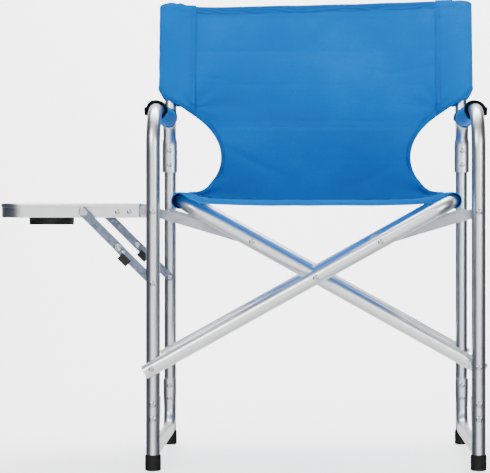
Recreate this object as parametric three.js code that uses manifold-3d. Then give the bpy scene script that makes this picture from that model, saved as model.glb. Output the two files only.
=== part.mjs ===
// Folding aluminium director's chair with a side table, in millimetres, +Z up.
// X runs across the chair (the side table is at -X), Y runs from front to back.
// The chair is laid out about its own mid-plane, and the whole group is then
// moved so that the origin is at the bottom centre of its bounding box.
import * as THREE from 'three';
import { mergeVertices } from 'three/addons/utils/BufferGeometryUtils.js';
import Module from 'manifold-3d';

const wasm = await Module();
wasm.setup();

// ---------------------------------------------------------------- dimensions
const DEPTH = 385;            // front leg axis to rear post axis
const YF = -DEPTH / 2;        // front leg axis
const YR = DEPTH / 2;         // rear post axis
const LEG_X = 276.7;          // leg axes each side of the mid-plane
const LEG_R = 12;             // front leg and arm tube, outside radius
const POST_R = 11;            // rear post and bottom rail, outside radius
const WALL = 1.4;             // tube wall
const GAP = 0.4;              // running gap between touching pieces

const ARM_Z = 616;            // arm tube axis height
const ARM_FRONT_BEND = 70;    // bend radius, leg to arm
const ARM_REAR_BEND = 50;     // bend radius, arm to saddle
const SADDLE_Y = YR - 8;      // axis of the arm tube's coped end
const SADDLE_BOTTOM = 516;
const ARM_RIVET_Z = [556.6, 530.2];

const POST_BEND_Z = 572;      // the post leans back above this height
const POST_LEAN = 10;         // degrees
const POST_UPPER = 268;       // leaning length of the post

const RAIL_Z = 32;            // bottom rail axis height
const RAIL_TOP = 125;
const RAIL_BEND = 38;
const RAIL_RIVET_Z = [112.7, 88];

const FOOT_H = 27;
const FOOT_FLOOR = 5;

const CROSS_Z = 175;          // lower pivots of the crossed frames
const CENTRE_Z = 328.7;       // where the crossed frames pivot on each other
const SEAT_X = 234;           // seat rail axes
const SEAT_Z = 458.7;
const BAR_R = 12;             // crossed frames, outside radius
const BAR_BEND = 40;
const BAR_END = 14;           // open end beyond the lower pivot
const A_FRONT = YF - 24.5, A_REAR = YR - 23.5;
const B_FRONT = YF + 24.5, B_REAR = YR + 23.5;

const HINGE_Z = 439.5;        // seat link and table hinge height on the legs
const LINK_X = 109.3, LINK_Z = 389.4;   // seat link pivot on the crossed frame
const LINK_W = 16, LINK_T = 2, LINK_DEEP = 8;

const TABLE_OUT = -545, TABLE_IN = -299;
const TABLE_TOP = 454.5, TABLE_BOTTOM = 430;
const TABLE_FRONT = YF + 19.4, TABLE_BACK = YR - 37;
const TABLE_CORNER = 45;
const CUP_X = -474, CUP_Y = (TABLE_FRONT + TABLE_BACK) / 2, CUP_R = 40;

const BRACE_HALF = 121.5;     // hinge to brace pivot, on the leg and on the table
const BRACE_Z = HINGE_Z - BRACE_HALF;
const TAB_X = -LEG_X - BRACE_HALF;
const KNEE_X = -LEG_X - BRACE_HALF / 2, KNEE_Z = HINGE_Z - BRACE_HALF / 2;
const BRACE_W = 15, BRACE_T = 2;

const FABRIC = 2.4;           // collision thickness of the sewn fabric

const SIDES = 12, BORE_SIDES = 8, BEND_STEPS = 6;

// ------------------------------------------------------------------ materials
const alu = (c = 0xc9ccce) => new THREE.MeshStandardMaterial({ color: c, roughness: 0.35, metalness: 1 });
const steel = () => new THREE.MeshStandardMaterial({ color: 0xa7abad, roughness: 0.42, metalness: 1 });
const black = () => new THREE.MeshStandardMaterial({ color: 0x141415, roughness: 0.7, metalness: 0 });
const cloth = () => new THREE.MeshStandardMaterial({ color: 0x0e6fd0, roughness: 0.85, metalness: 0 });
const board = () => new THREE.MeshStandardMaterial({ color: 0xbfc3c6, roughness: 0.5, metalness: 0.2 });

// -------------------------------------------------------------------- helpers
const rad = THREE.MathUtils.degToRad;
const v3 = (x, y, z) => new THREE.Vector3(x, y, z);

// A line with round bends, sampled only where it turns.
class BentLine extends THREE.Curve {
  constructor(corners, radii, steps = BEND_STEPS) {
    super();
    this.at = []; this.dir = [];
    const put = (p, d) => { this.at.push(p.clone()); this.dir.push(d.clone().normalize()); };
    const way = (i) => corners[i + 1].clone().sub(corners[i]).normalize();
    put(corners[0], way(0));
    for (let i = 1; i < corners.length - 1; i++) {
      const d1 = way(i - 1), d2 = way(i), r = radii[i - 1];
      const turn = Math.acos(d1.dot(d2));
      const side = d2.clone().addScaledVector(d1, -d1.dot(d2)).normalize();
      const start = corners[i].clone().addScaledVector(d1, -r * Math.tan(turn / 2));
      const centre = start.clone().addScaledVector(side, r);
      for (let k = 0; k <= steps; k++) {
        const a = turn * k / steps;
        put(centre.clone().addScaledVector(side, -r * Math.cos(a)).addScaledVector(d1, r * Math.sin(a)),
          d1.clone().multiplyScalar(Math.cos(a)).addScaledVector(side, Math.sin(a)));
      }
    }
    put(corners.at(-1), way(corners.length - 2));
    this.steps = this.at.length - 1;
  }
  getPointAt(u) { return this.at[Math.round(u * this.steps)].clone(); }
  getPoint(t) { return this.getPointAt(t); }
  getTangentAt(u) { return this.dir[Math.round(u * this.steps)].clone(); }
  getTangent(t) { return this.getTangentAt(t); }
}

const ring = (r, n, at = [0, 0]) => Array.from({ length: n }, (_, i) => new THREE.Vector2(
  at[0] + r * Math.cos(2 * Math.PI * i / n), at[1] + r * Math.sin(2 * Math.PI * i / n)));

// Hollow tube along a bent line.
function tube(corners, radii, r, wall = WALL, steps = BEND_STEPS) {
  const line = new BentLine(corners, radii, steps);
  const section = new THREE.Shape(ring(r, SIDES));
  section.holes.push(new THREE.Path(ring(r - wall, BORE_SIDES)));
  return new THREE.ExtrudeGeometry(section, { steps: line.steps, extrudePath: line, bevelEnabled: false, curveSegments: 1 });
}

// Flat outline drawn in X and Z, thick along Y from y0 to y0 + thick.
function plate(shape, y0, thick) {
  return new THREE.ExtrudeGeometry(shape, { depth: thick, bevelEnabled: false, curveSegments: 8 })
    .rotateX(Math.PI / 2).translate(0, y0 + thick, 0);
}

// Flat outline drawn in X and Y, thick along Z from z0 to z0 + thick.
function slab(shape, z0, thick) {
  return new THREE.ExtrudeGeometry(shape, { depth: thick, bevelEnabled: false, curveSegments: 8 }).translate(0, 0, z0);
}

// Bar with round ends between two pivots, as an outline in X and Z.
function bar(x0, z0, x1, z1, w, holes = []) {
  const a = Math.atan2(z1 - z0, x1 - x0), n = 5, pts = [];
  for (let i = 0; i <= n; i++) {
    const t = a - Math.PI / 2 + Math.PI * i / n;
    pts.push(new THREE.Vector2(x1 + w / 2 * Math.cos(t), z1 + w / 2 * Math.sin(t)));
  }
  for (let i = 0; i <= n; i++) {
    const t = a + Math.PI / 2 + Math.PI * i / n;
    pts.push(new THREE.Vector2(x0 + w / 2 * Math.cos(t), z0 + w / 2 * Math.sin(t)));
  }
  const s = new THREE.Shape(pts);
  for (const [x, z, r] of holes) s.holes.push(new THREE.Path(ring(r, 8, [x, z])));
  return s;
}

function box(x0, x1, y0, y1, z0, z1) {
  return new THREE.BoxGeometry(x1 - x0, y1 - y0, z1 - z0).translate((x0 + x1) / 2, (y0 + y1) / 2, (z0 + z1) / 2);
}

function roundedRect(x0, x1, y0, y1, rOut, rIn) {
  // outer corners at x0, inner corners at x1
  const s = new THREE.Shape();
  s.moveTo(x1 - rIn, y0);
  s.absarc(x1 - rIn, y0 + rIn, rIn, -Math.PI / 2, 0, false);
  s.absarc(x1 - rIn, y1 - rIn, rIn, 0, Math.PI / 2, false);
  s.absarc(x0 + rOut, y1 - rOut, rOut, Math.PI / 2, Math.PI, false);
  s.absarc(x0 + rOut, y0 + rOut, rOut, Math.PI, 1.5 * Math.PI, false);
  s.closePath();
  return s;
}

function solid(geometry) {
  const g = geometry.clone();
  for (const k of Object.keys(g.attributes)) if (k !== 'position') g.deleteAttribute(k);
  const m = mergeVertices(g, 1e-4);
  return new wasm.Manifold(new wasm.Mesh({
    numProp: 3,
    vertProperties: new Float32Array(m.attributes.position.array),
    triVerts: new Uint32Array(m.index.array),
  }));
}

function toGeometry(manifold) {
  const m = manifold.getMesh();
  const g = new THREE.BufferGeometry();
  g.setAttribute('position', new THREE.BufferAttribute(new Float32Array(m.vertProperties), 3));
  g.setIndex(new THREE.BufferAttribute(new Uint32Array(m.triVerts), 1));
  g.computeVertexNormals();
  return g;
}

const join = (...gs) => gs.slice(1).reduce((a, g) => a.add(solid(g)), solid(gs[0]));
const cut = (body, ...gs) => gs.reduce((a, g) => a.subtract(solid(g)), body);

// Round drill along Y.
const drill = (x, z, y0, y1, r = 3.2) =>
  new THREE.CylinderGeometry(r, r, y1 - y0, 8).rotateY(Math.PI / 8).translate(x, (y0 + y1) / 2, z);

const chair = new THREE.Group();
function add(name, geometry, material, at = null) {
  const mesh = new THREE.Mesh(geometry, material);
  mesh.name = name;
  if (at) mesh.position.set(...at);
  chair.add(mesh);
  return mesh;
}

// Turned pin along Y. steps is a list of [y, radius] going back from the front.
function pin(name, x, z, steps, material = steel()) {
  const y0 = steps[0][0];
  const profile = [new THREE.Vector2(0, 0)];
  for (const [y, r] of steps) profile.push(new THREE.Vector2(r, y - y0));
  profile.push(new THREE.Vector2(0, steps.at(-1)[0] - y0));
  add(name, new THREE.LatheGeometry(profile, 8), material, [x, y0, z]);
}
// Headed rivet from the front face y0 to the back face y1.
const HEAD = 4.6, HEAD_T = 1.4, NECK = 2.6, TAIL = 4;
const rivet = (y0, y1, head = HEAD) => [
  [y0 - HEAD_T - 0.2, head - 1], [y0 - 0.7, head], [y0 - 0.2, head], [y0 - 0.2, NECK],
  [y1 + 0.2, NECK], [y1 + 0.2, TAIL], [y1 + 1.4, TAIL - 0.8]];

// ------------------------------------------------------------------- the tubes
const leanDir = v3(0, Math.sin(rad(POST_LEAN)), Math.cos(rad(POST_LEAN)));
const postCorners = (x, z0, extra = 0) => [
  v3(x, YR, z0), v3(x, YR, POST_BEND_Z), v3(x, YR, POST_BEND_Z).addScaledVector(leanDir, POST_UPPER + extra)];

function solidRod(corners, radii, r) {
  const line = new BentLine(corners, radii);
  return new THREE.ExtrudeGeometry(new THREE.Shape(ring(r, 16)), { steps: line.steps, extrudePath: line, bevelEnabled: false });
}

for (const [side, s] of [['left', -1], ['right', 1]]) {
  const x = s * LEG_X;
  const braced = side === 'left';

  // Front leg and arm, one tube, coped round the rear post at its end.
  let leg = solid(tube([v3(x, YF, FOOT_FLOOR + 0.4), v3(x, YF, ARM_Z), v3(x, SADDLE_Y, ARM_Z), v3(x, SADDLE_Y, SADDLE_BOTTOM)],
    [ARM_FRONT_BEND, ARM_REAR_BEND], LEG_R));
  leg = cut(leg, solidRod(postCorners(x, 480, -60), [60], POST_R + GAP),
    drill(x, CROSS_Z, YF - 20, YF + 20), drill(x, HINGE_Z, YF - 20, YF + 20),
    ...RAIL_RIVET_Z.map((z) => drill(x, z, YF - 20, YF + 20)),
    ...ARM_RIVET_Z.map((z) => drill(x, z, SADDLE_Y - 20, SADDLE_Y)),
    ...(braced ? [drill(x, BRACE_Z, YF - 20, YF + 20)] : []));
  add(`${side}_leg_arm_tube`, toGeometry(leg), alu());

  // Rear post, leaning back above the arm.
  let post = solid(tube(postCorners(x, FOOT_FLOOR + 0.4), [60], POST_R, WALL, 2));
  post = cut(post, drill(x, CROSS_Z, YR - 20, YR + 20), drill(x, HINGE_Z, YR - 20, YR + 20),
    ...ARM_RIVET_Z.map((z) => drill(x, z, YR - 20, YR + 20)),
    ...(braced ? [drill(x, BRACE_Z, YR - 20, YR + 20)] : []));
  add(`${side}_rear_post`, toGeometry(post), alu());

  // Bottom rail with both ends turned up and coped to the leg and the post.
  let rail = solid(tube([v3(x, YF + 9, RAIL_TOP), v3(x, YF + 9, RAIL_Z), v3(x, YR - 8, RAIL_Z), v3(x, YR - 8, RAIL_TOP)],
    [RAIL_BEND, RAIL_BEND], POST_R));
  rail = cut(rail, solidRod([v3(x, YF, 4), v3(x, YF, 70), v3(x, YF, 140)], [1], LEG_R + GAP),
    solidRod([v3(x, YR, 4), v3(x, YR, 70), v3(x, YR, 140)], [1], POST_R + GAP),
    ...RAIL_RIVET_Z.map((z) => drill(x, z, YF + 10, YF + 30)));
  add(`${side}_bottom_rail`, toGeometry(rail), alu());

  // Cup-shaped feet.
  const foot = (name, y, r) => add(name, new THREE.LatheGeometry([
    new THREE.Vector2(0, 0), new THREE.Vector2(r - 1.2, 0), new THREE.Vector2(r, 1.6), new THREE.Vector2(r, FOOT_H),
    new THREE.Vector2(r - 1.1, FOOT_H), new THREE.Vector2(r - 1.1, FOOT_FLOOR), new THREE.Vector2(0, FOOT_FLOOR)],
  SIDES * 2).rotateX(Math.PI / 2), black(), [x, y, 0]);
  foot(`${side}_front_foot`, YF, LEG_R + 1.7);
  foot(`${side}_rear_foot`, YR, POST_R + 1.7);

  // Padded arm cover, a thick sleeve round the arm tube.
  const pad = new THREE.Shape(ring(17.5, 14));
  pad.holes.push(new THREE.Path(ring(LEG_R + 0.9, 10)));
  add(`${side}_arm_pad`, new THREE.ExtrudeGeometry(pad, { depth: (YR - 60) - (YF + 72), bevelEnabled: false })
    .rotateX(-Math.PI / 2), cloth(), [x, YF + 72, ARM_Z]);

  // Fixed rivets.
  pin(`${side}_arm_rivet_upper`, x, ARM_RIVET_Z[0], rivet(SADDLE_Y - LEG_R, YR + POST_R));
  pin(`${side}_arm_rivet_lower`, x, ARM_RIVET_Z[1], rivet(SADDLE_Y - LEG_R, YR + POST_R));
  pin(`${side}_front_rail_rivet_upper`, x, RAIL_RIVET_Z[0], rivet(YF - LEG_R, YF + 20));
  pin(`${side}_front_rail_rivet_lower`, x, RAIL_RIVET_Z[1], rivet(YF - LEG_R, YF + 20));
}

// ------------------------------------------------------------- crossed frames
const barDir = v3(SEAT_X + LEG_X, 0, SEAT_Z - CROSS_Z).normalize();
function crossFrame(s, yFront, yRear) {
  // s = 1 carries the right seat rail, s = -1 the left one
  const foot = (y) => v3(s * (-LEG_X - BAR_END * barDir.x), y, CROSS_Z - BAR_END * barDir.z);
  const body = solid(tube([foot(yFront), v3(s * SEAT_X, yFront, SEAT_Z), v3(s * SEAT_X, yRear, SEAT_Z), foot(yRear)],
    [BAR_BEND, BAR_BEND], BAR_R));
  const holes = [];
  for (const y of [yFront, yRear]) {
    holes.push(drill(-s * LEG_X, CROSS_Z, y - 20, y + 20), drill(0, CENTRE_Z, y - 20, y + 20),
      drill(s * LINK_X, LINK_Z, y - 20, y + 20));
  }
  return cut(body, ...holes);
}
add('cross_frame_a', toGeometry(crossFrame(1, A_FRONT, A_REAR)), alu());
add('cross_frame_b', toGeometry(crossFrame(-1, B_FRONT, B_REAR)), alu());

// Lower pivots.
pin('left_front_cross_pivot', -LEG_X, CROSS_Z, rivet(A_FRONT - BAR_R, YF + LEG_R, 5));
pin('left_rear_cross_pivot', -LEG_X, CROSS_Z, rivet(A_REAR - BAR_R, YR + POST_R, 5));
pin('right_front_cross_pivot', LEG_X, CROSS_Z, rivet(YF - LEG_R, B_FRONT + BAR_R, 5));
pin('right_rear_cross_pivot', LEG_X, CROSS_Z, rivet(YR - POST_R, B_REAR + BAR_R, 5));

// Centre pivots, each with a spacer collar between the two bars.
function centre(name, ya, yb) {
  pin(name, 0, CENTRE_Z, [
    [ya - BAR_R - 1.6, 4], [ya - BAR_R - 0.7, 5], [ya - BAR_R - 0.2, 5], [ya - BAR_R - 0.2, NECK],
    [ya + BAR_R + 0.3, NECK], [ya + BAR_R + 0.3, 6.5], [yb - BAR_R - 0.3, 6.5], [yb - BAR_R - 0.3, NECK],
    [yb + BAR_R + 0.2, NECK], [yb + BAR_R + 0.2, TAIL], [yb + BAR_R + 1.4, TAIL - 0.8]]);
}
centre('front_centre_pivot', A_FRONT, B_FRONT);
centre('rear_centre_pivot', A_REAR, B_REAR);

// ------------------------------------------------------------------ seat links
// Pressed channel: web at yWeb, flanges running to yWeb + deep (deep may be negative).
function link(name, s, yWeb, deep) {
  const x0 = s * LEG_X, x1 = s * LINK_X;
  const web = plate(bar(x0, HINGE_Z, x1, LINK_Z, LINK_W, [[x0, HINGE_Z, 3.4], [x1, LINK_Z, 3]]), yWeb, LINK_T);
  const d = new THREE.Vector2(x1 - x0, LINK_Z - HINGE_Z).normalize(), n = new THREE.Vector2(-d.y, d.x);
  const len = Math.hypot(x1 - x0, LINK_Z - HINGE_Z);
  const quad = (v0, v1) => new THREE.Shape([[20, v0], [len - 12, v0], [len - 12, v1], [20, v1]].map(([u, v]) =>
    new THREE.Vector2(x0 + d.x * u + n.x * v, HINGE_Z + d.y * u + n.y * v)));
  const y0 = deep > 0 ? yWeb : yWeb + LINK_T + deep, h = LINK_W / 2;
  add(name, toGeometry(join(web, plate(quad(-h + 0.05, -h + 2), y0, Math.abs(deep)), plate(quad(h - 2, h - 0.05), y0, Math.abs(deep)))), steel());
}
link('left_front_link', -1, YF + 36.9, LINK_DEEP);
link('left_rear_link', -1, YR - 19.4, LINK_DEEP);
link('right_front_link', 1, YF + 12.4, LINK_DEEP);
link('right_rear_link', 1, YR - 39.5, -LINK_DEEP);

// Link pins on the crossed frames; the links lie just clear of their ends.
pin('left_front_link_pin', -LINK_X, LINK_Z, [
  [B_FRONT - BAR_R - 1.4, 3.6], [B_FRONT - BAR_R - 0.7, HEAD], [B_FRONT - BAR_R - 0.2, HEAD], [B_FRONT - BAR_R - 0.2, NECK],
  [B_FRONT + BAR_R, NECK]]);
pin('left_rear_link_pin', -LINK_X, LINK_Z, [
  [YR - 11.1, 6], [B_REAR - BAR_R - 0.3, 6], [B_REAR - BAR_R - 0.3, NECK], [B_REAR + BAR_R + 0.2, NECK],
  [B_REAR + BAR_R + 0.2, TAIL], [B_REAR + BAR_R + 1.4, TAIL - 0.8]]);
pin('right_front_link_pin', LINK_X, LINK_Z, [
  [A_FRONT - BAR_R - 1.6, 3.6], [A_FRONT - BAR_R - 0.7, HEAD], [A_FRONT - BAR_R - 0.2, HEAD], [A_FRONT - BAR_R - 0.2, NECK],
  [A_FRONT + BAR_R + 0.3, NECK], [A_FRONT + BAR_R + 0.3, 6], [YF + 12.1, 6]]);
pin('right_rear_link_pin', LINK_X, LINK_Z, rivet(A_REAR - BAR_R, A_REAR + BAR_R));

// Hinge bolts on the legs, with collars that hold the links and brackets apart.
pin('left_front_hinge_bolt', -LEG_X, HINGE_Z, [
  [YF - 13.6, 4], [YF - 12.7, 5], [YF - 12.2, 5], [YF - 12.2, NECK], [YF + 12.3, NECK], [YF + 12.3, 5.5], [YF + 21.3, 5.5],
  [YF + 21.3, 3], [YF + 24.1, 3], [YF + 24.1, 5.5], [YF + 36.6, 5.5], [YF + 36.6, 3], [YF + 39.2, 3], [YF + 39.2, 4.6], [YF + 40.4, 4]]);
pin('left_rear_hinge_bolt', -LEG_X, HINGE_Z, [
  [YR - 24.1, 4], [YR - 23.2, 5], [YR - 22.6, 5], [YR - 22.6, 3], [YR - 17.1, 3], [YR - 17.1, 5], [YR - 11.3, 5],
  [YR - 11.3, NECK], [YR + 11.2, NECK], [YR + 11.2, TAIL], [YR + 12.4, 3.2]]);
pin('right_front_hinge_bolt', LEG_X, HINGE_Z, [
  [YF - 13.6, 4], [YF - 12.7, 5], [YF - 12.2, 5], [YF - 12.2, NECK], [YF + 14.8, NECK], [YF + 14.8, 4.6], [YF + 16, 4]]);
pin('right_rear_hinge_bolt', LEG_X, HINGE_Z, [
  [YR - 41.3, 4], [YR - 40.4, 5], [YR - 39.8, 5], [YR - 39.8, 3], [YR - 37.2, 3], [YR - 37.2, 5.5], [YR - 11.3, 5.5],
  [YR - 11.3, NECK], [YR + 11.2, NECK], [YR + 11.2, TAIL], [YR + 12.4, 3.2]]);

// ------------------------------------------------------------------ side table
{
  const outer = roundedRect(TABLE_OUT, TABLE_IN, TABLE_FRONT, TABLE_BACK, TABLE_CORNER, 5);
  const inset = (shape, d) => {
    shape.holes.push(new THREE.Path(roundedRect(TABLE_OUT + d, TABLE_IN - d, TABLE_FRONT + d, TABLE_BACK - d, TABLE_CORNER - d, Math.max(5 - d, 1)).getPoints(8)));
    return shape;
  };
  const H = TABLE_TOP - TABLE_BOTTOM;
  let rim = join(slab(inset(outer.clone(), 2), TABLE_BOTTOM, H),
    slab(inset(outer.clone(), 12), TABLE_TOP - 2, 2), slab(inset(outer.clone(), 9), TABLE_BOTTOM, 1.6));
  rim = cut(rim,
    box(TABLE_IN - 14, TABLE_IN + 4, TABLE_FRONT + 2, TABLE_FRONT + 5, 433.5, 445.5),
    box(TABLE_IN - 14, TABLE_IN + 4, YR - 41.8, YR - 39, 433.5, 445.5),
    drill(TAB_X, HINGE_Z, TABLE_FRONT - 5, TABLE_FRONT + 5, 3), drill(TAB_X, HINGE_Z, TABLE_BACK - 5, TABLE_BACK + 5, 3));
  add('table_rim', toGeometry(rim), alu());

  const top = roundedRect(TABLE_OUT + 2.4, TABLE_IN - 2.4, TABLE_FRONT + 2.4, TABLE_BACK - 2.4, TABLE_CORNER - 2.4, 3);
  top.holes.push(new THREE.Path(ring(CUP_R + 0.8, 20, [CUP_X, CUP_Y])));
  add('table_top', slab(top, 446.2, 6), board());

  add('cup_holder', new THREE.LatheGeometry([[0, 417.5], [33, 417.5], [CUP_R, 421], [CUP_R, 452.5], [46, 452.5], [46, 454.3],
    [CUP_R - 2, 454.3], [CUP_R - 2, 422], [32, 419.5], [0, 419.5]].map(([r, z]) => new THREE.Vector2(r, z - 417.5)), 20)
    .rotateX(Math.PI / 2), black(), [CUP_X, CUP_Y, 417.5]);

  // Hinge brackets inside the rim, reaching to the hinge bolts.
  add('front_table_bracket', plate(bar(-LEG_X, HINGE_Z, -345, HINGE_Z, 10, [[-LEG_X, HINGE_Z, 3.4]]), YF + 21.7, 2), steel());
  // The rear bracket is joggled: it lies against the rim and steps back to the post.
  const rearBracket = join(
    plate(bar(-LEG_X, HINGE_Z, -288, HINGE_Z, 10, [[-LEG_X, HINGE_Z, 3.4]]), YR - 22.3, 2),
    box(-294, -291.5, YR - 41.5, YR - 20.3, HINGE_Z - 5, HINGE_Z + 5),
    plate(bar(-340, HINGE_Z, -296, HINGE_Z, 10), YR - 41.5, 2));
  add('rear_table_bracket', toGeometry(rearBracket), steel());

  // Pivots of the braces on the rim.
  pin('front_table_brace_pivot', TAB_X, HINGE_Z, [
    [YF + 16, 4], [YF + 16.4, HEAD], [YF + 16.9, HEAD], [YF + 16.9, NECK], [YF + 21.7, NECK], [YF + 21.7, TAIL], [YF + 22.8, 3.2]]);
  pin('rear_table_brace_pivot', TAB_X, HINGE_Z, [
    [YR - 40.6, 3.2], [YR - 39.3, TAIL], [YR - 39.3, NECK], [YR - 36.7, NECK], [YR - 36.7, 6], [YR - 19.7, 6],
    [YR - 19.7, NECK], [YR - 17.1, NECK], [YR - 17.1, HEAD], [YR - 16.2, 4]]);
}

// --------------------------------------------------------------- table braces
const brace = (name, x0, z0, x1, z1, y, h0, h1) =>
  add(name, plate(bar(x0, z0, x1, z1, BRACE_W, [[x0, z0, h0], [x1, z1, h1]]), y, BRACE_T), steel());
brace('front_lower_brace', -LEG_X, BRACE_Z, KNEE_X, KNEE_Z, YF + 13.8, 3, 3);
brace('rear_lower_brace', -LEG_X, BRACE_Z, KNEE_X, KNEE_Z, YR - 14.7, 3, 3);
brace('front_upper_brace', TAB_X, HINGE_Z, KNEE_X, KNEE_Z, YF + 17.1, 3, 3);
brace('rear_upper_brace', TAB_X, HINGE_Z, KNEE_X, KNEE_Z, YR - 19.4, 3, 3);
pin('left_front_brace_pivot', -LEG_X, BRACE_Z, [
  [YF - 13.6, 3.8], [YF - 12.7, HEAD], [YF - 12.2, HEAD], [YF - 12.2, NECK], [YF + 12.3, NECK], [YF + 12.3, 5.5], [YF + 13.5, 5.5],
  [YF + 13.5, NECK], [YF + 15.6, NECK]]);
pin('left_rear_brace_pivot', -LEG_X, BRACE_Z, [
  [YR - 15.8, 3.8], [YR - 15.4, HEAD], [YR - 14.9, HEAD], [YR - 14.9, NECK], [YR - 12.4, NECK], [YR - 12.4, 5.5], [YR - 11.3, 5.5],
  [YR - 11.3, NECK], [YR + 11.2, NECK], [YR + 11.2, TAIL], [YR + 12.4, 3.2]]);
pin('front_knee_rivet', KNEE_X, KNEE_Z, [
  [YF + 12.4, 5.4], [YF + 13, 6.4], [YF + 13.6, 6.4], [YF + 13.6, NECK], [YF + 15.8, NECK]]);
pin('rear_knee_rivet', KNEE_X, KNEE_Z, [
  [YR - 20.6, 4], [YR - 20, HEAD], [YR - 19.6, HEAD], [YR - 19.6, NECK], [YR - 17.4, NECK]]);

// Sliding locks, clips round the lower edge of each lower brace.
function lock(name, y, flip) {
  // centre of the clip, 64 along the lower brace from its leg pivot
  const d = new THREE.Vector2(-1, 1).normalize(), n = new THREE.Vector2(-1, -1).normalize();
  const at = (u, v) => new THREE.Vector2(-LEG_X + d.x * u + n.x * v, BRACE_Z + d.y * u + n.y * v);
  const quad = (u0, u1, v0, v1) => new THREE.Shape([at(u0, v0), at(u1, v0), at(u1, v1), at(u0, v1)]);
  const y0 = y - 1.5, y1 = y + BRACE_T + 1.1;
  let body = solid(plate(quad(54, 74, 1, 14.5), y0, y1 - y0));
  body = cut(body, plate(quad(50, 78, -1, 7.9), y - 0.35, BRACE_T + 0.7));
  add(name, toGeometry(body), black());
}
lock('front_brace_lock', YF + 13.8);
lock('rear_brace_lock', YR - 14.7);

// -------------------------------------------------------------------- fabric
{
  // Seat: a sagging sheet over both rails with a sewn sleeve round each.
  const under = [[-SEAT_X, 471.3], [-215, 471], [-195, 468.5], [-150, 463], [-80, 458], [0, 456], [80, 458], [150, 463], [195, 468.5], [215, 471], [SEAT_X, 471.3]];
  const outline = [...under.map(([x, z]) => new THREE.Vector2(x, z)), ...under.toReversed().map(([x, z]) => new THREE.Vector2(x, z + FABRIC))];
  const sleeve = (x, y0, y1) => {
    const s = new THREE.Shape(ring(15, 14, [x, SEAT_Z]));
    s.holes.push(new THREE.Path(ring(12.9, 14, [x, SEAT_Z])));
    return plate(s, y0, y1 - y0);
  };
  const seat = join(plate(new THREE.Shape(outline), YF - 8, YR - 2 - (YF - 8)),
    sleeve(-SEAT_X, B_FRONT + BAR_BEND + 1, B_REAR - BAR_BEND - 1), sleeve(SEAT_X, A_FRONT + BAR_BEND + 1, A_REAR - BAR_BEND - 1));
  add('seat_sling', toGeometry(seat), cloth());

  // Back: a panel between two closed pockets on the leaning posts, narrowing to a waist.
  const frame = new THREE.Matrix4().makeBasis(v3(1, 0, 0), v3(0, Math.cos(rad(POST_LEAN)), -Math.sin(rad(POST_LEAN))), leanDir)
    .setPosition(0, YR, POST_BEND_Z);
  const T0 = 90, T1 = 275;
  const pocketShape = (x, w, h) => {
    const s = new THREE.Shape(), r = h / 2 - 0.01;
    s.moveTo(x - w / 2 + r, -h / 2);
    s.absarc(x + w / 2 - r, 0, h / 2, -Math.PI / 2, Math.PI / 2, false);
    s.absarc(x - w / 2 + r, 0, h / 2, Math.PI / 2, 1.5 * Math.PI, false);
    s.closePath();
    return s;
  };
  const pocket = (s) => {
    const x = s * (LEG_X + 0.5);
    const o = pocketShape(x, 46, 26.6);
    o.holes.push(new THREE.Path(pocketShape(x, 43, 23.6).getPoints(5)));
    const wall = new THREE.ExtrudeGeometry(o, { depth: T1 - T0, bevelEnabled: false, curveSegments: 5 }).translate(0, 0, T0);
    const cap = new THREE.ExtrudeGeometry(pocketShape(x, 46, 26.6), { depth: 2.4, bevelEnabled: false, curveSegments: 5 }).translate(0, 0, T1 - 2.4);
    return [wall.applyMatrix4(frame), cap.applyMatrix4(frame)];
  };
  const panel = new THREE.BoxGeometry(2 * 262, FABRIC, T1 - 84).translate(0, -13.3 + FABRIC / 2, (T1 + 84) / 2).applyMatrix4(frame);
  const half = [[262, 661], [262, 648], [238, 631], [210, 606], [189, 577], [180, 552], [184, 522], [199, 497], [212, 487], [228, 481], [246, 479], [246, 476],
    [221, 474.3], [195, 471.6], [150, 466], [80, 461], [0, 459]];
  const waist = new THREE.Shape([...half.map(([x, z]) => new THREE.Vector2(x, z)), ...half.slice(0, -1).toReversed().map(([x, z]) => new THREE.Vector2(-x, z))]);
  const waistGeo = plate(waist, YR, FABRIC);
  const p = waistGeo.attributes.position;
  for (let i = 0; i < p.count; i++) p.setY(i, p.getY(i) + 0.4 + (p.getZ(i) - 474.5) * 0.008);
  const back = join(panel, waistGeo, ...pocket(-1), ...pocket(1));
  add('back_panel', toGeometry(back), cloth());
}

// Origin at the bottom centre of the bounding box.
const whole = new THREE.Group();
whole.add(chair);
const bounds = new THREE.Box3().setFromObject(chair, true);
chair.position.set(-(bounds.min.x + bounds.max.x) / 2, -(bounds.min.y + bounds.max.y) / 2, -bounds.min.z);

export default whole;
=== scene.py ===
import math
import bpy
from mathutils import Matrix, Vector, noise


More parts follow.
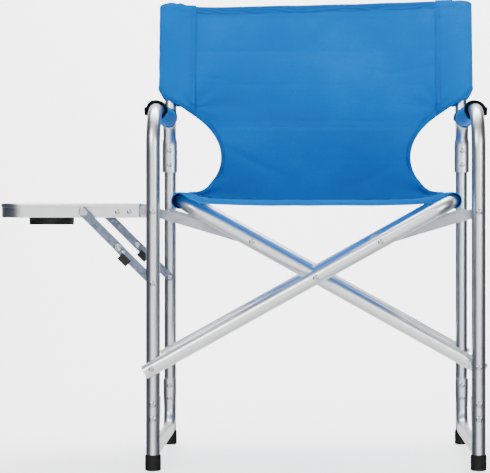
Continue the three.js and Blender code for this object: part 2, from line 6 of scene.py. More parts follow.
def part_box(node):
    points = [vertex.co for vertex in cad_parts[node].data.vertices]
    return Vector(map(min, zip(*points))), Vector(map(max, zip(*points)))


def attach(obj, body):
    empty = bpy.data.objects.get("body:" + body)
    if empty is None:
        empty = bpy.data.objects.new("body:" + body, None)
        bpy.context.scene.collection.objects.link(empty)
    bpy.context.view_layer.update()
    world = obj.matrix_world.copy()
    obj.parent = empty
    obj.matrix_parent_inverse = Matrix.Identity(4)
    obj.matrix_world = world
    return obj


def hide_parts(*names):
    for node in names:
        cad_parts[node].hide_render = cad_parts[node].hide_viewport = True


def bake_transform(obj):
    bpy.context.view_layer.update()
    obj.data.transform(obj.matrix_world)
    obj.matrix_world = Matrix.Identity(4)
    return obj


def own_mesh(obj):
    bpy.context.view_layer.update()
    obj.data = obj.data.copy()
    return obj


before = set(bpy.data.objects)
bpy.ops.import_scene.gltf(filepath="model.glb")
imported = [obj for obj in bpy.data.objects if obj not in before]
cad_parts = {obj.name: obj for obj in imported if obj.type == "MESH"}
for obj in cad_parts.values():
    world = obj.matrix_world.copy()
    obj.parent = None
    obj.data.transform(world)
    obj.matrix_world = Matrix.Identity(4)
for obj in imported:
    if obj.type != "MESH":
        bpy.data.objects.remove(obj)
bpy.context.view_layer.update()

# ------------------------------------------------------------------ the layout
# Everything below is laid out in millimetres about the chair's own mid-plane,
# and P() turns that into the frame's metres.
YF, YR, LX = -192.5, 192.5, 276.7
_lo, _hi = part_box("left_front_foot")
OX = (_lo[0] + _hi[0]) / 2 * 1000 + LX
OY = (_lo[1] + _hi[1]) / 2 * 1000 - YF
SEAT_X, SEAT_Z, CROSS_Z, CENTRE_Z, HINGE_Z = 234.0, 458.7, 175.0, 328.7, 439.5
LINK_X, LINK_Z = 109.3, 389.4
AF, AR, BF, BR = YF - 24.5, YR - 23.5, YF + 24.5, YR + 23.5
LEAN = math.radians(10)


def P(v):
    return ((v[0] + OX) / 1000, (v[1] + OY) / 1000, v[2] / 1000)


def V(*a):
    return Vector(a)


# ------------------------------------------------------------------- materials
def nodes_of(name):
    m = bpy.data.materials.new(name)
    m.use_nodes = True
    t = m.node_tree
    return m, t, t.nodes["Principled BSDF"], t.links.new


def rgba(c):
    return (c[0], c[1], c[2], 1)


def add(t, kind, **sockets):
    n = t.nodes.new(kind)
    for k, v in sockets.items():
        n.inputs[k.replace("_", " ")].default_value = v
    return n


def coords(t, scale=(1, 1, 1), which="Object"):
    c = t.nodes.new("ShaderNodeTexCoord")
    m = t.nodes.new("ShaderNodeMapping")
    m.inputs["Scale"].default_value = scale
    t.links.new(c.outputs[which], m.inputs["Vector"])
    return m.outputs["Vector"]


def ramp(t, stops):
    r = t.nodes.new("ShaderNodeValToRGB")
    e = r.color_ramp.elements
    e[0].position, e[0].color = stops[0][0], rgba(stops[0][1])
    e[1].position, e[1].color = stops[-1][0], rgba(stops[-1][1])
    for p, c in stops[1:-1]:
        x = e.new(p)
        x.color = rgba(c)
    return r


def metal(name, dark, light, r0, r1, fine, bump, stretch=(1, 1, 1)):
    m, t, b, link = nodes_of(name)
    b.inputs["Metallic"].default_value = 1.0
    n1 = add(t, "ShaderNodeTexNoise", Scale=38.0, Detail=5.0, Roughness=0.6)
    link(coords(t), n1.inputs["Vector"])
    col = ramp(t, [(0.3, dark), (0.7, light)])
    link(n1.outputs["Fac"], col.inputs["Fac"])
    link(col.outputs["Color"], b.inputs["Base Color"])
    n2 = add(t, "ShaderNodeTexNoise", Scale=fine, Detail=3.0, Roughness=0.55)
    link(coords(t, stretch), n2.inputs["Vector"])
    mr = add(t, "ShaderNodeMapRange", From_Min=0.3, From_Max=0.7, To_Min=r0, To_Max=r1)
    link(n2.outputs["Fac"], mr.inputs["Value"])
    link(mr.outputs["Result"], b.inputs["Roughness"])
    bp = add(t, "ShaderNodeBump", Strength=bump, Distance=0.0002)
    link(n2.outputs["Fac"], bp.inputs["Height"])
    link(bp.outputs["Normal"], b.inputs["Normal"])
    return m


ALU_V = metal("satin_aluminium_upright", (0.70, 0.715, 0.73), (0.78, 0.79, 0.80), 0.27, 0.38, 900, 0.05, (1, 1, 0.03))
ALU_Y = metal("satin_aluminium_along", (0.70, 0.715, 0.73), (0.78, 0.79, 0.80), 0.27, 0.38, 900, 0.05, (1, 0.03, 1))
ALU_X = metal("satin_aluminium_cross", (0.72, 0.735, 0.75), (0.80, 0.81, 0.82), 0.30, 0.40, 900, 0.03, (0.10, 1, 0.10))
RIM = metal("satin_extrusion", (0.70, 0.71, 0.72), (0.77, 0.78, 0.79), 0.26, 0.38, 800, 0.15, (0.06, 0.06, 1))
STEEL = metal("bright_zinc_plate", (0.27, 0.29, 0.32), (0.42, 0.44, 0.48), 0.27, 0.44, 260, 0.2)
RIVET = metal("rivet_steel", (0.36, 0.37, 0.38), (0.50, 0.51, 0.52), 0.16, 0.28, 400, 0.15)


# painted shade: the braces' metal is given a very dark colour that stands in for the shade the braces hang in beneath
# the table
BRACE_METAL_PAINTED_SHADE = metal("galvanised_strip_painted_shade", (0.08, 0.10, 0.15), (0.22, 0.26, 0.34), 0.30, 0.50, 220, 0.25)
_r = next(n for n in BRACE_METAL_PAINTED_SHADE.node_tree.nodes if n.type == "TEX_NOISE")
_r.inputs["Scale"].default_value = 190.0


def matte(name, dark, light, r0, r1, scale, bump, spec=0.4):
    m, t, b, link = nodes_of(name)
    b.inputs["Specular IOR Level"].default_value = spec
    n1 = add(t, "ShaderNodeTexNoise", Scale=scale, Detail=6.0, Roughness=0.65)
    link(coords(t), n1.inputs["Vector"])
    col = ramp(t, [(0.32, dark), (0.68, light)])
    link(n1.outputs["Fac"], col.inputs["Fac"])
    link(col.outputs["Color"], b.inputs["Base Color"])
    mr = add(t, "ShaderNodeMapRange", From_Min=0.3, From_Max=0.7, To_Min=r0, To_Max=r1)
    link(n1.outputs["Fac"], mr.inputs["Value"])
    link(mr.outputs["Result"], b.inputs["Roughness"])
    v = add(t, "ShaderNodeTexNoise", Scale=scale * 8, Detail=2.0)
    link(coords(t), v.inputs["Vector"])
    bp = add(t, "ShaderNodeBump", Strength=bump, Distance=0.0003)
    link(v.outputs["Fac"], bp.inputs["Height"])
    link(bp.outputs["Normal"], b.inputs["Normal"])
    return m


RUBBER = matte("black_rubber", (0.0018, 0.0018, 0.0020), (0.0060, 0.0060, 0.0065), 0.60, 0.82, 120, 0.5, 0.25)
PLASTIC = matte("black_plastic", (0.0016, 0.0016, 0.0018), (0.0050, 0.0050, 0.0055), 0.36, 0.54, 160, 0.35, 0.3)
BOARD = matte("grey_laminate", (0.50, 0.52, 0.54), (0.58, 0.60, 0.61), 0.30, 0.44, 60, 0.25, 0.5)


def fabric(name, dark, light, pitch=0.0011, which="UV", crease=0.35):
    """Plain weave drawn in the cloth's own flat coordinates, in metres."""
    m, t, b, link = nodes_of(name)
    b.inputs["Roughness"].default_value = 0.82
    b.inputs["Specular IOR Level"].default_value = 0.05
    b.inputs["Sheen Weight"].default_value = 0.0
    b.inputs["Sheen Roughness"].default_value = 0.45
    b.inputs["Sheen Tint"].default_value = rgba((0.35, 0.65, 1.0))
    vec = coords(t, which=which)
    waves = []
    for axis in ("X", "Y"):
        w = add(t, "ShaderNodeTexWave", Scale=1 / pitch / 2, Distortion=0.6, Detail=1.0, Detail_Scale=0.4)
        w.wave_type, w.bands_direction, w.wave_profile = "BANDS", axis, "SIN"
        link(vec, w.inputs["Vector"])
        waves.append(w)
    mul = t.nodes.new("ShaderNodeMath")
    mul.operation = "MULTIPLY"
    link(waves[0].outputs["Fac"], mul.inputs[0])
    link(waves[1].outputs["Fac"], mul.inputs[1])
    slub = add(t, "ShaderNodeTexNoise", Scale=220.0, Detail=3.0)
    link(vec, slub.inputs["Vector"])
    wide = add(t, "ShaderNodeTexNoise", Scale=9.0, Detail=4.0, Roughness=0.55)
    link(coords(t), wide.inputs["Vector"])
    mix = t.nodes.new("ShaderNodeMath")
    mix.operation = "MULTIPLY_ADD"
    link(slub.outputs["Fac"], mix.inputs[0])
    mix.inputs[1].default_value = 0.45
    link(mul.outputs[0], mix.inputs[2])
    mix2 = t.nodes.new("ShaderNodeMath")
    mix2.operation = "MULTIPLY_ADD"
    link(wide.outputs["Fac"], mix2.inputs[0])
    mix2.inputs[1].default_value = 0.9
    link(mix.outputs[0], mix2.inputs[2])
    col = ramp(t, [(0.45, dark), (1.6 / 2, light)])
    half = t.nodes.new("ShaderNodeMath")
    half.operation = "MULTIPLY"
    half.inputs[1].default_value = 0.62
    link(mix2.outputs[0], half.inputs[0])
    link(half.outputs[0], col.inputs["Fac"])
    link(col.outputs["Color"], b.inputs["Base Color"])
    b1 = add(t, "ShaderNodeBump", Strength=0.35, Distance=0.00025)
    link(mul.outputs[0], b1.inputs["Height"])
    crumple = add(t, "ShaderNodeTexNoise", Scale=26.0, Detail=4.0, Roughness=0.5)
    link(vec, crumple.inputs["Vector"])
    b2 = add(t, "ShaderNodeBump", Strength=crease, Distance=0.0016)
    link(crumple.outputs["Fac"], b2.inputs["Height"])
    link(b1.outputs["Normal"], b2.inputs["Normal"])
    link(b2.outputs["Normal"], b.inputs["Normal"])
    return m


BLUE = fabric("blue_fabric", (0.0001, 0.084, 0.345), (0.0002, 0.140, 0.455))
BLUE_HEM = fabric("blue_binding", (0.0001, 0.065, 0.275), (0.0002, 0.113, 0.370), pitch=0.0016, which="Object", crease=0.2)
BLUE_PAD = fabric("blue_arm_cover", (0.0002, 0.100, 0.350), (0.0005, 0.160, 0.460), crease=0.5)
BLACK_WEB = fabric("black_edging", (0.0012, 0.0014, 0.0030), (0.0040, 0.0046, 0.0085), pitch=0.0016, which="Object", crease=0.2)
for _m in (BLACK_WEB,):
    _m.node_tree.nodes["Principled BSDF"].inputs["Sheen Tint"].default_value = (0.6, 0.6, 0.6, 1)
THREAD = matte("blue_thread", (0.0005, 0.040, 0.22), (0.001, 0.06, 0.30), 0.6, 0.75, 400, 0.3)


# --------------------------------------------------------------------- meshes
def make(name, verts, faces, mat, smooth=True, sharp=40, uv=None):
    me = bpy.data.meshes.new(name)
    me.from_pydata([P(v) for v in verts], [], faces)
    me.update()
    if uv:
        layer = me.uv_layers.new(name="UVMap")
        for l in me.loops:
            layer.data[l.index].uv = uv[l.vertex_index]
    me.materials.append(mat)
    o = bpy.data.objects.new(name, me)
    bpy.context.scene.collection.objects.link(o)
    if smooth:
        me.polygons.foreach_set("use_smooth", [True] * len(me.polygons))
        me.set_sharp_from_angle(angle=math.radians(sharp))
    return o


def path(corners, radii, n=16):
    """Points and tangents of a bent line, with the straight parts cut up too."""
    pts = []
    def straight(a, b, d):
        k = max(1, int((b - a).length / 25))
        for i in range(k):
            pts.append((a + (b - a) * (i / k), d))
    here = corners[0].copy()
    for i in range(1, len(corners) - 1):
        d1 = (corners[i] - corners[i - 1]).normalized()
        d2 = (corners[i + 1] - corners[i]).normalized()
        r, turn = radii[i - 1], d1.angle(d2)
        side = (d2 - d1 * d1.dot(d2)).normalized()
        start = corners[i] - d1 * (r * math.tan(turn / 2))
        centre = start + side * r
        straight(here, start, d1)
        m = max(3, int(n * turn / (math.pi / 2)))
        for k in range(m + 1):
            a = turn * k / m
            pts.append((centre - side * (r * math.cos(a)) + d1 * (r * math.sin(a)), d1 * math.cos(a) + side * math.sin(a)))
        here = pts.pop()[0]
    d = (corners[-1] - corners[-2]).normalized()
    straight(here, corners[-1], d)
    pts.append((corners[-1].copy(), d))
    return pts


def tube(name, corners, radii, r, mat, normal, body, nodes, shape=None, ends=(True, True), wall=1.5, seg=40):
    """Round tube in the plane with that normal; an open end shows its wall and bore."""
    line = path(corners, radii)
    b = normal.normalized()
    rings = []
    for p, d in line:
        n = b.cross(d).normalized()
        ring = []
        for k in range(seg):
            a = 2 * math.pi * k / seg
            u, w = math.cos(a) * r, math.sin(a) * r
            if shape:
                u, w = shape(p, u, w)
            ring.append(p + n * u + b * w)
        rings.append(ring)
    def end(i, sign, opened):
        p, d = line[i]
        out = []
        for rr, back in ((r - 0.25, -0.1), (r - wall + 0.2, -0.1), (r - wall, 0.3), (r - wall, 22), (0.01, 22.1)) if opened else ((r - 0.5, -0.2), (r * 0.5, -0.4), (0.01, -0.5)):
            n = b.cross(d).normalized()
            ring = []
            for k in range(seg):
                a = 2 * math.pi * k / seg
                u, w = math.cos(a) * rr, math.sin(a) * rr
                if shape:
                    u, w = shape(p, u, w)
                ring.append(p + d * (sign * back) + n * u + b * w)
            out.append(ring)
        return out
    rings = end(0, 1, ends[0])[::-1] + rings + end(-1, -1, ends[1])
    verts = [v for ring in rings for v in ring]
    faces = [(i * seg + k, (i + 1) * seg + k, (i + 1) * seg + (k + 1) % seg, i * seg + (k + 1) % seg)
             for i in range(len(rings) - 1) for k in range(seg)]
    faces.append(tuple(range(seg)))
    faces.append(tuple(reversed(range((len(rings) - 1) * seg, len(rings) * seg))))
    o = make(name, verts, faces, mat)
    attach(o, body)
    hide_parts(*nodes)
    return o


class Lathes:
    """Several turned shapes in one mesh. Each is a profile of (distance, radius)."""

    def __init__(self):
        self.v, self.f = [], []

    def turn(self, at, prof, axis="y", seg=28):
        base = len(self.v)
        for d, r in prof:
            for k in range(seg):
                a = 2 * math.pi * k / seg
                c, s = math.cos(a) * max(r, 0.005), math.sin(a) * max(r, 0.005)
                self.v.append(V(at[0] + c, at[1] + d, at[2] + s) if axis == "y" else V(at[0] + c, at[1] - s, at[2] + d))
        n = len(prof)
        for i in range(n - 1):
            for k in range(seg):
                a, b2 = base + i * seg + k, base + i * seg + (k + 1) % seg
                self.f.append((a, a + seg, b2 + seg, b2))
        self.f.append(tuple(range(base, base + seg)))
        self.f.append(tuple(reversed(range(base + (n - 1) * seg, base + n * seg))))

    def head(self, x, z, y, way, r=4.6, h=1.5):
        """Domed rivet head lying on the face at y, on the side that way points to."""
        p = [(-way * 1.0, 2.5), (0.0, 2.5), (0.0, r), (way * 0.35 * h, r * 0.985), (way * 0.62 * h, r * 0.86), (way * 0.86 * h, r * 0.58), (way * 0.97 * h, r * 0.28), (way * h, 0)]
        if way < 0:
            p = p[::-1]
        self.turn((x, y, z), p)

    def washer(self, x, z, y0, y1, r):
        self.turn((x, 0, z), [(y0, 0), (y0, r - 0.4), (y0 + 0.3, r), (y1 - 0.3, r), (y1, r - 0.4), (y1, 0)])

    def done(self, name, mat, body, nodes):
        o = make(name, self.v, self.f, mat)
        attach(o, body)
        if nodes:
            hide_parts(*nodes)
        return o


# ---------------------------------------------------------------- side frames
lean = V(0, math.sin(LEAN), math.cos(LEAN))
for side, s in (("left", -1), ("right", 1)):
    x, body = s * LX, f"{side}_frame"

    def saddle(p, u, w):
        # the arm tube's rear end is pressed flat round the post
        if p.y > YR - 9 and p.z < 590:
            k = min(1, (590 - p.z) / 22)
            k = k * k * (3 - 2 * k)
            return u * (1 - 0.14 * k), w * (1 + 0.16 * k)
        return u, w

    tube(f"{side}_leg_and_arm", [V(x, YF, 6), V(x, YF, 616), V(x, YR - 8, 616), V(x, YR - 8, 516)], [70, 50], 12, ALU_V,
         V(1, 0, 0), body, [f"{side}_leg_arm_tube"], shape=saddle, ends=(False, True))
    tube(f"{side}_post", [V(x, YR, 6), V(x, YR, 572), V(x, YR, 572) + lean * 268], [60], 11, ALU_V, V(1, 0, 0), body, [f"{side}_rear_post"], ends=(False, False))

    def wrap(p, u, w):
        # the turned-up ends are pressed a little flat against the leg and the post
        if p.z > 70:
            k = min(1, (p.z - 70) / 12)
            return u * (1 - 0.2 * k), w * (1 + 0.1 * k)
        return u, w

    tube(f"{side}_lower_rail", [V(x, YF + 11, 125), V(x, YF + 11, 32), V(x, YR - 10, 32), V(x, YR - 10, 125)], [38, 38], 11, ALU_Y,
         V(1, 0, 0), body, [f"{side}_bottom_rail"], shape=wrap)

    for e, y, r in (("front", YF, 13.7), ("rear", YR, 12.7)):
        L = Lathes()
        prof = [(0, 0), (0, r - 2.2), (0.5, r - 1.0), (1.6, r - 0.2), (3, r), (5.5, r), (5.9, r - 0.35), (6.6, r - 0.35), (7.0, r), (24.5, r - 0.15), (26.2, r - 0.4), (27, r - 1.0), (27, r - 1.5), (20, r - 1.55), (20, 0)]
        L.turn((x, y, 0), prof, axis="z", seg=40)
        L.done(f"{side}_{e}_rubber_foot", RUBBER, body, [f"{side}_{e}_foot"])

    # rivets of the side frame
    L = Lathes()
    for z in (556.6, 530.2):
        L.head(x, z, YR - 18.4, -1)
        L.head(x, z, YR + 10.9, 1, 4, 1.2)
    for z in (112.7, 88):
        L.head(x, z, YF - 11.7, -1, 5.6, 1.9)
        L.head(x, z, YF + 19.6, 1, 4, 1.2)
        L.head(x, z, YR - 18.4, -1, 4.8, 1.5)
        L.head(x, z, YR + 10.9, 1, 4, 1.2)
    names = [f"{side}_{n}" for n in ("arm_rivet_upper", "arm_rivet_lower", "front_rail_rivet_upper", "front_rail_rivet_lower",
                                     "front_cross_pivot", "rear_cross_pivot", "front_hinge_bolt", "rear_hinge_bolt")]
    if side == "left":
        L.head(x, CROSS_Z, AF - 11.9, -1, 5, 1.6)
        L.washer(x, CROSS_Z, YF - 12.6, YF - 11.8, 5.2)
        L.head(x, CROSS_Z, YF + 11.9, 1, 4, 1.4)
        L.head(x, CROSS_Z, AR - 11.9, -1, 5, 1.6)
        L.washer(x, CROSS_Z, YR - 11.6, YR - 10.9, 5.2)
        L.head(x, CROSS_Z, YR + 10.9, 1, 4, 1.4)
        L.head(x, HINGE_Z, YF - 11.9, -1, 5, 1.6)
        L.washer(x, HINGE_Z, YF + 11.5, YF + 21.5, 5.5)
        L.washer(x, HINGE_Z, YF + 23.8, YF + 36.7, 5.5)
        L.head(x, HINGE_Z, YF + 39.0, 1, 4.6, 1.4)
        L.head(x, HINGE_Z, YR - 22.4, -1, 5, 1.5)
        L.washer(x, HINGE_Z, YR - 17.2, YR - 10.6, 5)
        L.head(x, HINGE_Z, YR + 10.9, 1, 4, 1.4)
        L.head(x, 318, YF - 11.9, -1, 4.6, 1.6)
        L.washer(x, 318, YF + 11.5, YF + 13.6, 5.5)
        L.head(x, 318, YF + 15.6, 1, 4.2, 0.3)
        L.head(x, 318, YR - 14.8, -1, 4.6, 1.0)
        L.washer(x, 318, YR - 12.6, YR - 10.7, 5.5)
        L.head(x, 318, YR + 10.9, 1, 4, 1.4)
        names += ["left_front_brace_pivot", "left_rear_brace_pivot"]
    else:
        L.head(x, CROSS_Z, YF - 11.9, -1, 5, 1.6)
        L.washer(x, CROSS_Z, YF + 11.8, YF + 12.6, 5.2)
        L.head(x, CROSS_Z, BF + 11.9, 1, 4, 1.4)
        L.head(x, CROSS_Z, YR - 10.9, -1, 5, 1.6)
        L.washer(x, CROSS_Z, YR + 10.8, YR + 11.6, 5.2)
        L.head(x, CROSS_Z, BR + 11.9, 1, 4, 1.4)
        L.head(x, HINGE_Z, YF - 11.9, -1, 5, 1.6)
        L.head(x, HINGE_Z, YF + 14.5, 1, 4.6, 1.3)
        L.head(x, HINGE_Z, YR - 39.6, -1, 5, 1.6)
        L.washer(x, HINGE_Z, YR - 37.4, YR - 10.7, 5.5)
        L.head(x, HINGE_Z, YR + 10.9, 1, 4, 1.4)
    L.done(f"{side}_frame_rivets", RIVET, body, names)


# ------------------------------------------------------------- crossed frames
def crossed(name, s, yf, yr, body, node):
    d = V(SEAT_X + LX, 0, SEAT_Z - CROSS_Z).normalized()
    low = lambda y: V(s * (-LX - 14 * d.x), y, CROSS_Z - 14 * d.z)
    bx = V(s * d.x, 0, d.z)
    n = bx.cross(V(0, 1, 0))
    tube(name, [low(yf), V(s * SEAT_X, yf, SEAT_Z), V(s * SEAT_X, yr, SEAT_Z), low(yr)], [40, 40], 12, ALU_X, n, body, [node])


crossed("crossed_bars_a", 1, AF, AR, "frame_a", "cross_frame_a")
crossed("crossed_bars_b", -1, BF, BR, "frame_b", "cross_frame_b")

L = Lathes()
for ya, yb in ((AF, BF), (AR, BR)):
    L.head(0, CENTRE_Z, ya - 11.9, -1, 5, 1.7)
    L.washer(0, CENTRE_Z, ya + 11.7, yb - 11.7, 6.5)
    L.head(0, CENTRE_Z, yb + 11.9, 1, 4.4, 1.4)
L.head(LINK_X, LINK_Z, AF - 11.9, -1, 4.8, 1.6)
L.washer(LINK_X, LINK_Z, AF + 11.7, YF + 12.2, 6)
L.head(LINK_X, LINK_Z, AR - 11.9, -1, 4.6, 1.5)
L.head(LINK_X, LINK_Z, AR + 11.9, 1, 4, 1.3)
L.done("frame_a_rivets", RIVET, "frame_a", ["front_centre_pivot", "rear_centre_pivot", "right_front_link_pin", "right_rear_link_pin"])
L = Lathes()
L.head(-LINK_X, LINK_Z, BF - 11.9, -1, 4.8, 1.6)
L.washer(-LINK_X, LINK_Z, YR - 11.0, BR - 11.7, 6)
L.head(-LINK_X, LINK_Z, BR + 11.9, 1, 4, 1.3)
L.done("frame_b_rivets", RIVET, "frame_b", ["left_front_link_pin", "left_rear_link_pin"])


# --------------------------------------------- pressed steel kept from the CAD
def dress(node, mat, bevel, slot):
    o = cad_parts[node]
    o.data.materials.clear()
    o.data.materials.append(mat)
    b = o.modifiers.new("edges", "BEVEL")
    b.width, b.segments, b.limit_method, b.angle_limit = bevel / 1000, 2, "ANGLE", math.radians(35)
    b.harden_normals = False


for n in ("left_front_link", "left_rear_link", "right_front_link", "right_rear_link"):
    dress(n, STEEL, 1.1, "galvanised_steel")
for n in ("front_table_bracket", "rear_table_bracket"):
    dress(n, STEEL, 0.5, "galvanised_steel")
# the four braces take the dark brace metal, whose colour is painted shade
for n in ("front_upper_brace", "rear_upper_brace", "front_lower_brace", "rear_lower_brace"):
    dress(n, BRACE_METAL_PAINTED_SHADE, 0.5, "galvanised_steel")
for n in ("front_brace_lock", "rear_brace_lock"):
    dress(n, PLASTIC, 0.7, "black_plastic")

KX, KZ, TX = -LX - 60.75, HINGE_Z - 60.75, -LX - 121.5
L = Lathes()
L.turn((KX, YF + 13.8, KZ), [(-0.5, 0), (-0.5, 2.2), (-0.6, 3.0), (-1.5, 3.8), (-1.8, 4.8), (-1.5, 5.9), (-0.7, 6.5), (0, 6.5), (0, 0)])
L.head(KX + 8.6, KZ - 8.6, YF + 13.7, -1, 3.2, 1.0)
L.done("front_knee_head", RIVET, "lower_braces", ["front_knee_rivet"])
L = Lathes()
L.head(KX, KZ, YR - 19.5, -1, 4.8, 1.2)
L.done("rear_knee_head", RIVET, "upper_braces", ["rear_knee_rivet"])

# ------------------------------------------------------------------ side table
TX0, TX1, TY0, TY1, TZ0, TZ1 = -545, -299, YF + 19.4, YR - 37, 430, 454.5


def rounded(x0, x1, y0, y1, ro, ri, n=14):
    """Closed outline with its outward normals; the corners at x0 have radius ro."""
    out = []
    for cx, cy, r, a0 in ((x1 - ri, y0 + ri, ri, -90), (x1 - ri, y1 - ri, ri, 0), (x0 + ro, y1 - ro, ro, 90), (x0 + ro, y0 + ro, ro, 180)):
        for k in range(n + 1):
            a = math.radians(a0 + 90 * k / n)
            out.append((V(cx + r * math.cos(a), cy + r * math.sin(a), 0), V(math.cos(a), math.sin(a), 0)))
    return out


line = rounded(TX0, TX1, TY0, TY1, 45, 5)
prof = [(2.0, 430), (1.5, 430.2), (1.2, 430.8), (1.2, 447.0), (0.9, 447.5), (0.2, 447.8), (0, 448.4), (0, 452.2), (0.3, 453.4), (1.1, 454.2), (2.4, 454.5), (9.5, 454.5), (11.2, 454.2), (11.9, 453.4), (11.7, 452.6), (10.8, 452.3), (3.0, 452.3), (2.2, 451.5),
        (2.0, 446), (2.0, 432.4), (2.4, 431.6), (8.6, 431.6), (9.0, 431.2), (8.8, 430.2), (8.2, 430)]
verts, faces, m = [], [], len(prof)
for p, n in line:
    for d, z in prof:
        dd = min(d, 4.2) if (p.x > TX1 - 5.5 and n.length and abs(n.x * n.y) > 1e-3) else d
        verts.append(V(p.x - n.x * dd, p.y - n.y * dd, z))
for i in range(len(line)):
    j = (i + 1) % len(line)
    for k in range(m):
        k2 = (k + 1) % m
        faces.append((i * m + k, i * m + k2, j * m + k2, j * m + k))
rim = make("table_edge_extrusion", verts, faces, RIM)
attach(rim, "table")
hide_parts("table_rim")
dress("table_top", BOARD, 0.3, "grey_board")
L = Lathes()
L.turn((-474, (TY0 + TY1) / 2, 0), [(417.5, 0), (417.5, 37.5), (417.8, 39.0), (418.6, 39.8), (419.6, 40), (421, 40), (421.2, 39.6), (422, 39.6), (422.2, 40), (452.5, 40), (452.6, 45.2), (453.0, 46), (453.8, 45.6), (454.3, 44), (454.3, 40), (453.6, 38.4), (452.4, 38),
                                  (425, 37.8), (422, 36.6), (420.2, 34), (419.5, 30), (419.5, 0)], axis="z", seg=72)
L.done("cup_ring_and_well", PLASTIC, "table", ["cup_holder"])
L = Lathes()
L.head(TX, HINGE_Z, YF + 16.3, -1, 3.6, 0.3)
base = len(L.v)
for y, k in ((YF + 17.0, 1.0), (YF + 16.4, 1.0), (YF + 16.1, 0.9)):
    for q in range(36):
        a = 2 * math.pi * q / 36
        r = (6.9 + 1.0 * math.cos(3 * (a - math.pi / 2))) * k
        L.v.append(V(TX + r * math.cos(a), y, HINGE_Z + r * math.sin(a)))
for i in range(2):
    for q in range(36):
        L.f.append((base + i * 36 + q, base + i * 36 + (q + 1) % 36, base + (i + 1) * 36 + (q + 1) % 36, base + (i + 1) * 36 + q))
L.f.append(tuple(reversed(range(base, base + 36))))
L.f.append(tuple(range(base + 72, base + 108)))
L.washer(TX, HINGE_Z, YF + 19.0, YF + 22.4, 4)
L.washer(TX, HINGE_Z, YR - 40.4, YR - 38.9, 4)
L.washer(TX, HINGE_Z, YR - 37.2, YR - 19.6, 6)
L.head(TX, HINGE_Z, YR - 17.4, 1, 4.8, 1.2)
for bx in (-339.6, -318.9):
    L.head(bx, HINGE_Z, TY0 + 1.3, -1, 4.3, 1.5)
    L.head(bx, HINGE_Z, TY1 - 1.3, 1, 4.3, 1.5)
L.done("table_rivets", RIVET, "table", ["front_table_brace_pivot", "rear_table_brace_pivot"])


# -------------------------------------------------------------------- fabric
def grid(name, rows, mat, thick, flat_uv, body=None, closed=False):
    """Sheet from rows of points, with real thickness and rounded edges."""
    n = len(rows[0])
    verts = [p for r in rows for p in r]
    uv = [q for r in flat_uv for q in r]
    faces = [(i * n + k, i * n + k + 1, (i + 1) * n + k + 1, (i + 1) * n + k) for i in range(len(rows) - 1) for k in range(n - 1)]
    o = make(name, verts, faces, mat, sharp=70, uv=uv)
    so = o.modifiers.new("thick", "SOLIDIFY")
    so.thickness, so.offset = thick / 1000, 0
    apply_all(o)
    return o


def apply_all(o):
    dg = bpy.context.evaluated_depsgraph_get()
    bpy.context.view_layer.update()
    me = bpy.data.meshes.new_from_object(o.evaluated_get(dg), preserve_all_data_layers=True, depsgraph=dg)
    o.modifiers.clear()
    o.data = me


def catmull(pts, t):
    """Point on a smooth curve through pts, t from 0 to 1."""
    n = len(pts) - 1
    f = min(max(t, 0), 1) * n
    i = min(int(f), n - 1)
    u = f - i
    p0, p1, p2, p3 = pts[max(i - 1, 0)], pts[i], pts[i + 1], pts[min(i + 2, n)]
    return tuple(0.5 * (2 * b + (c - a) * u + (2 * a - 5 * b + 4 * c - d) * u * u + (3 * b - a - 3 * c + d) * u ** 3) for a, b, c, d in zip(p0, p1, p2, p3))


def nz(x, y, z, scale, seed=0.0):
    return noise.noise(Vector((x / scale + seed, y / scale - seed, z / scale + 2 * seed)))


TOP_T = 275.0
DROPS = [(0, 18.2), (80, 17.4), (130, 16.4), (165, 15.6), (185, 14.9), (200, 13.4), (212, 9.6), (225, 4.6), (240, 0)]


def back_y(z):
    low = YR + 1.6 + (z - 474.5) * 0.008
    up = YR - 11.9 + (z - 574.1) * math.tan(LEAN)
    k = 4.0
    return k * math.log(math.exp((low - YR) / k) + math.exp((up - YR) / k)) + YR if abs(low - up) < 60 else max(low, up)


# the edge of the middle piece, from its foot up to the posts
EDGE = [(247, 477), (236, 480), (221, 484.5), (206, 492.5), (191, 507), (181.5, 529), (180, 551), (185, 572), (197, 593), (214, 611), (231, 624), (247, 635), (263, 646)]
SEAM = 229.0
TOPS = [(-300, 266), (-292, 269.5), (-277, 271.5), (-262, 269), (-245, 264.5), (-200, 263.5), (-45, 267), (60, 269.5), (150, 272.5), (229, 275), (262, 275.5), (277, 276), (292, 275), (300, 272)]


def top_t(x):
    """Height of the cloth's upper edge, along the posts; it hangs a little lower at the table's side."""
    for (xa, a), (xb, b) in zip(TOPS, TOPS[1:]):
        if x <= xb:
            f = max(0, (x - xa) / (xb - xa))
            return a + (b - a) * f * f * (3 - 2 * f)
    return TOPS[-1][1]


def edge_t(x):
    """Height along the post of the cloth's lower edge at x, outside the seam."""
    x = abs(x)
    if x >= 262.5:
        return (646 + (x - 263) * 0.45 + 15 * max(0, (x - 283) / 17) ** 2 - 574.1) / math.cos(LEAN)
    lo = min(range(201), key=lambda k: abs(edge_at(0.6 + 0.4 * k / 200)[0] - x))
    return (edge_at(0.6 + 0.4 * lo / 200)[1] - 574.1) / math.cos(LEAN)


def edge_at(t):
    return catmull(EDGE, t)


Z_TOP = 572 + TOP_T * math.cos(LEAN) + 13.3 * math.sin(LEAN)
rows, uvs = [], []
NC = 96
levels = [(min(x, SEAM) if z > 560 else x, z) for x, z in (edge_at(i / 80) for i in range(81))] + [(SEAM, 646 + (Z_TOP - 646) * i / 60) for i in range(1, 61)]


def foot_drop(x):
    for (xa, a), (xb, b) in zip(DROPS, DROPS[1:]):
        if x <= xb:
            f = (x - xa) / (xb - xa)
            return a + (b - a) * f
    return 0.0


